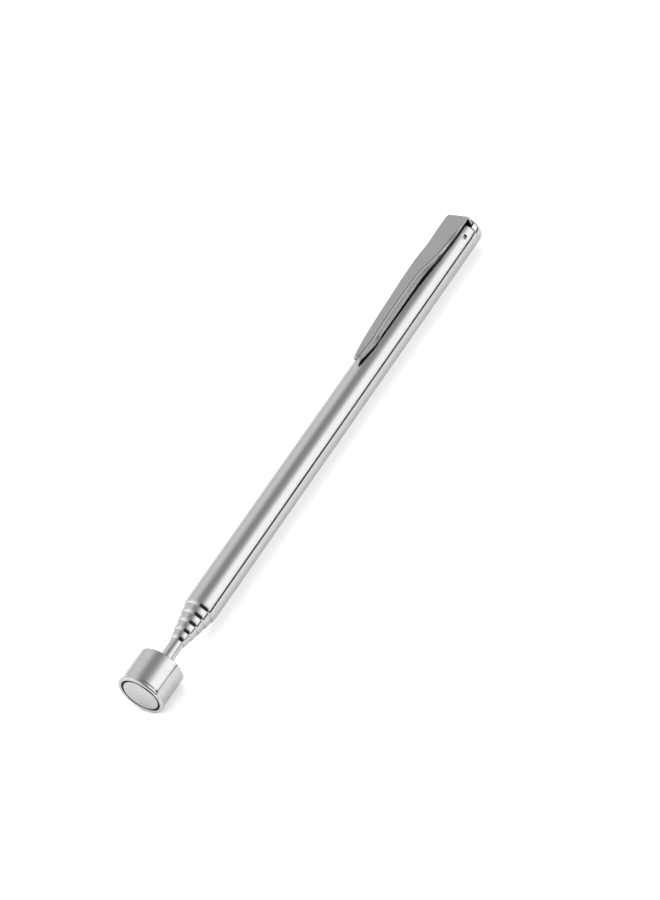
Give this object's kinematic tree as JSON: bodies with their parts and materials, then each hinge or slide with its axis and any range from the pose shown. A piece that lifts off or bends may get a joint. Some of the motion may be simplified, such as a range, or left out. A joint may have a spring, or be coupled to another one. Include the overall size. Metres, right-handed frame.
{
  "type": "magnetic pickup tool",
  "caption": "Pen-style pickup tool with a cupped disc magnet on a telescoping polished steel stem, domed end cap and spring pocket clip.",
  "frame": {"origin": "centre of the magnet's flat working face", "axes": "the tool lies along +X from the magnet to the domed cap; +Z points out through the pocket clip"},
  "size_m": [0.1337, 0.0104, 0.0113],
  "materials": {
    "polished_steel": "polished, bright",
    "cap_steel": "polished",
    "clip_steel": "satin spring steel, bright edges",
    "cup_steel": "nickel plated, polished",
    "brass": "turned",
    "spring_bronze": "rolled sheet",
    "nickel_plate": "matt nickel plating",
    "epoxy": "black epoxy"
  },
  "bodies": {
    "handle": {"handle_tube": "polished_steel", "end_cap": "cap_steel"},
    "clip": {"pocket_clip": "clip_steel"},
    "spring_1": {"friction_spring_1": "spring_bronze"},
    "section_1": {"tube_1": "polished_steel", "stop_bush_1": "brass"},
    "spring_2": {"friction_spring_2": "spring_bronze"},
    "section_2": {"tube_2": "polished_steel", "stop_bush_2": "brass"},
    "spring_3": {"friction_spring_3": "spring_bronze"},
    "section_3": {"tube_3": "polished_steel", "stop_bush_3": "brass"},
    "spring_4": {"friction_spring_4": "spring_bronze"},
    "section_4": {"tube_4": "polished_steel", "stop_bush_4": "brass"},
    "spring_5": {"friction_spring_5": "spring_bronze"},
    "rod_and_head": {"tip_rod": "polished_steel", "stop_bush_5": "brass", "magnet_cup": "cup_steel", "magnet": "nickel_plate", "magnet_bond": "epoxy"}
  },
  "joints": [
    {"name": "clip_flex", "type": "hinge", "parent": "handle", "child": "clip", "pos_m": [0.1316, 0, 0.0039], "axis": [0, 1, 0], "range_deg": [0, 4], "stiffness_Nm_per_rad": 0.35},
    {"name": "slide_1", "type": "slide", "parent": "handle", "child": "spring_1", "axis": [-1, 0, 0], "range_m": [0, 0.09473]},
    {"name": "swivel_1", "type": "hinge", "parent": "spring_1", "child": "section_1", "pos_m": [0, 0, 0], "axis": [-1, 0, 0], "continuous": true},
    {"name": "slide_2", "type": "slide", "parent": "section_1", "child": "spring_2", "axis": [-1, 0, 0], "range_m": [0, 0.09299]},
    {"name": "swivel_2", "type": "hinge", "parent": "spring_2", "child": "section_2", "pos_m": [0, 0, 0], "axis": [-1, 0, 0], "continuous": true},
    {"name": "slide_3", "type": "slide", "parent": "section_2", "child": "spring_3", "axis": [-1, 0, 0], "range_m": [0, 0.09125]},
    {"name": "swivel_3", "type": "hinge", "parent": "spring_3", "child": "section_3", "pos_m": [0, 0, 0], "axis": [-1, 0, 0], "continuous": true},
    {"name": "slide_4", "type": "slide", "parent": "section_3", "child": "spring_4", "axis": [-1, 0, 0], "range_m": [0, 0.08951]},
    {"name": "swivel_4", "type": "hinge", "parent": "spring_4", "child": "section_4", "pos_m": [0, 0, 0], "axis": [-1, 0, 0], "continuous": true},
    {"name": "slide_5", "type": "slide", "parent": "section_4", "child": "spring_5", "axis": [-1, 0, 0], "range_m": [0, 0.08747]},
    {"name": "swivel_5", "type": "hinge", "parent": "spring_5", "child": "rod_and_head", "pos_m": [0, 0, 0], "axis": [-1, 0, 0], "continuous": true}
  ]
}
